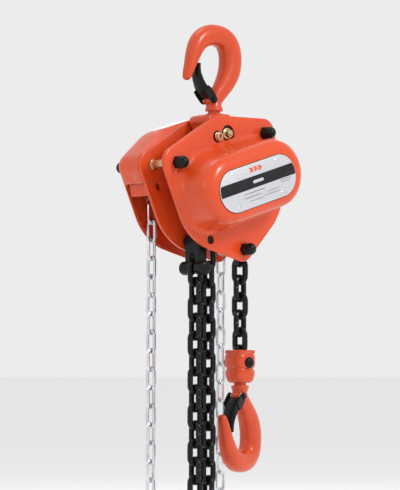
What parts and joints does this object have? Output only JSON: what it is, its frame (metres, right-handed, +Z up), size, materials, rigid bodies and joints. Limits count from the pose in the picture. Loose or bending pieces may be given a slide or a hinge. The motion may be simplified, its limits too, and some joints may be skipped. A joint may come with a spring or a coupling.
{
  "type": "chain hoist",
  "caption": "Hand chain hoist with a swivelling top hook, a two-plate body with a gear case and a hand-wheel cover, a load chain with a bottom hook and an endless hand chain.",
  "frame": {"origin": "inner top (saddle) of the top hook, where it bears on what the hoist hangs from", "axes": "+Z up, -Y towards the gear case and nameplate, +Y towards the hand wheel, both hooks open towards -X"},
  "size_m": [0.2184, 0.1809, 0.715],
  "materials": {
    "paint": "gloss orange-red enamel",
    "nameplate": "satin, with a black band",
    "yellow_zinc": "yellow zinc plate",
    "black_steel": "black oxide",
    "zinc": "bright zinc plate",
    "steel": "machined, oiled",
    "lining": "moulded friction material"
  },
  "bodies": {
    "hook_top": {"top_hook": "paint", "top_latch_pin": "black_steel"},
    "latch_top": {"top_latch": "black_steel"},
    "yoke_top": {"top_yoke": "paint"},
    "frame": {"gear_cover": "paint", "gear_side_plate": "paint", "wheel_side_plate": "paint", "hand_wheel_cover": "paint", "nameplate": "nameplate", "stay_bolt_left": "yellow_zinc", "stay_bolt_right": "yellow_zinc", "stay_bolt_bottom": "yellow_zinc", "front_cap_nut_left": "black_steel", "front_cap_nut_right": "black_steel", "front_cap_nut_bottom": "black_steel", "rear_cap_nut_left": "black_steel", "rear_cap_nut_right": "black_steel", "rear_cap_nut_bottom": "black_steel", "suspension_pin": "zinc", "pin_keeper_screw": "zinc", "anchor_pin": "steel", "sheave_bearing_front": "steel", "sheave_bearing_rear": "steel", "chain_stripper": "black_steel", "guide_roller_pin_left": "zinc", "guide_roller_pin_right": "zinc", "pawl_pin_left": "zinc", "pawl_pin_right": "zinc", "pawl_spring_left": "zinc", "pawl_spring_right": "zinc", "hand_chain_guide_left": "paint", "hand_chain_guide_right": "paint", "load_chain_wrap": "black_steel"},
    "sheave": {"load_sheave": "steel", "load_gear": "steel"},
    "disc_gear_left": {"disc_gear_left": "steel"},
    "disc_gear_right": {"disc_gear_right": "steel"},
    "drive": {"drive_shaft": "steel", "friction_hub": "steel", "friction_disc_inner": "lining", "friction_disc_outer": "lining", "hand_wheel": "paint", "lock_nut": "zinc", "split_pin": "zinc"},
    "ratchet": {"ratchet_disc": "steel"},
    "pawl_left": {"pawl_left": "black_steel"},
    "pawl_right": {"pawl_right": "black_steel"},
    "roller_left": {"guide_roller_left": "steel"},
    "roller_right": {"guide_roller_right": "steel"},
    "anchor": {"anchor_bracket": "black_steel", "slack_chain": "black_steel"},
    "hand_chain": {"hand_chain": "zinc"},
    "hook_drop": {"load_chain": "black_steel", "bottom_yoke_front": "paint", "bottom_yoke_rear": "paint", "yoke_pin": "black_steel", "yoke_nut": "black_steel"},
    "hook_bottom": {"bottom_hook": "paint", "bottom_latch_pin": "black_steel"},
    "latch_bottom": {"bottom_latch": "black_steel"}
  },
  "joints": [
    {"name": "top_latch_pivot", "type": "hinge", "parent": "hook_top", "child": "latch_top", "pos_m": [-0.009, 0, -0.0765], "axis": [0, 1, 0], "range_deg": [0, 40], "stiffness_Nm_per_rad": 0.05, "springref_deg": -34.38},
    {"name": "top_hook_swivel", "type": "hinge", "parent": "hook_top", "child": "yoke_top", "pos_m": [0, 0, -0.1235], "axis": [0, 0, 1], "continuous": true},
    {"name": "suspension_pivot", "type": "hinge", "parent": "yoke_top", "child": "frame", "pos_m": [0, 0, -0.1235], "axis": [0, 1, 0], "range_deg": [-10, 10]},
    {"name": "hand_wheel_drive", "type": "hinge", "parent": "frame", "child": "drive", "pos_m": [0.002, 0, -0.1885], "axis": [0, 1, 0], "range_deg": [-2890, 5780]},
    {"name": "load_sheave_spin", "type": "hinge", "parent": "frame", "child": "sheave", "pos_m": [0.002, 0, -0.1885], "axis": [0, 1, 0], "range_deg": [-90.01, 180.01]},
    {"name": "disc_gear_left_spin", "type": "hinge", "parent": "frame", "child": "disc_gear_left", "pos_m": [-0.04096, 0, -0.20188], "axis": [0, 1, 0], "range_deg": [-1020.1, 510.1]},
    {"name": "disc_gear_right_spin", "type": "hinge", "parent": "frame", "child": "disc_gear_right", "pos_m": [0.04496, 0, -0.17512], "axis": [0, 1, 0], "range_deg": [-1020.1, 510.1]},
    {"name": "ratchet_spin", "type": "hinge", "parent": "frame", "child": "ratchet", "pos_m": [0.002, 0, -0.1885], "axis": [0, 1, 0], "continuous": true},
    {"name": "pawl_left_pivot", "type": "hinge", "parent": "frame", "child": "pawl_left", "pos_m": [-0.03955, 0, -0.21013], "axis": [0, 1, 0], "range_deg": [-6, 6], "stiffness_Nm_per_rad": 0.02, "springref_deg": -26.07},
    {"name": "pawl_right_pivot", "type": "hinge", "parent": "frame", "child": "pawl_right", "pos_m": [0.04355, 0, -0.16687], "axis": [0, 1, 0], "range_deg": [-6, 6], "stiffness_Nm_per_rad": 0.02, "springref_deg": -26.07},
    {"name": "roller_left_spin", "type": "hinge", "parent": "frame", "child": "roller_left", "pos_m": [-0.04477, 0, -0.17083], "axis": [0, 1, 0], "continuous": true},
    {"name": "roller_right_spin", "type": "hinge", "parent": "frame", "child": "roller_right", "pos_m": [0.03046, 0, -0.14739], "axis": [0, 1, 0], "continuous": true},
    {"name": "anchor_pivot", "type": "hinge", "parent": "frame", "child": "anchor", "pos_m": [-0.03194, 0, -0.26851], "axis": [0, 1, 0], "range_deg": [-1, 4]},
    {"name": "hand_chain_sway", "type": "hinge", "parent": "frame", "child": "hand_chain", "pos_m": [0.002, 0, -0.1885], "axis": [0, 1, 0], "range_deg": [-3, 3]},
    {"name": "load_hook_travel", "type": "slide", "parent": "frame", "child": "hook_drop", "axis": [0, 0, -1], "range_m": [-0.0481, 0.0961], "deforming": ["load_chain"]},
    {"name": "bottom_hook_swivel", "type": "hinge", "parent": "hook_drop", "child": "hook_bottom", "pos_m": [0.0479, 0, -0.464], "axis": [0, 0, 1], "continuous": true},
    {"name": "bottom_latch_pivot", "type": "hinge", "parent": "hook_bottom", "child": "latch_bottom", "pos_m": [0.03934, -0.00278, -0.4785], "axis": [0.309, -0.9511, 0], "range_deg": [0, 40], "stiffness_Nm_per_rad": 0.05, "springref_deg": -34.38}
  ],
  "couplings": [
    {"joint": "load_sheave_spin", "follows": "hand_wheel_drive", "ratio": 0.031142},
    {"joint": "disc_gear_left_spin", "follows": "hand_wheel_drive", "ratio": -0.17647},
    {"joint": "disc_gear_right_spin", "follows": "hand_wheel_drive", "ratio": -0.17647},
    {"joint": "load_hook_travel", "follows": "hand_wheel_drive", "m_per_rad": 0.00095162}
  ]
}
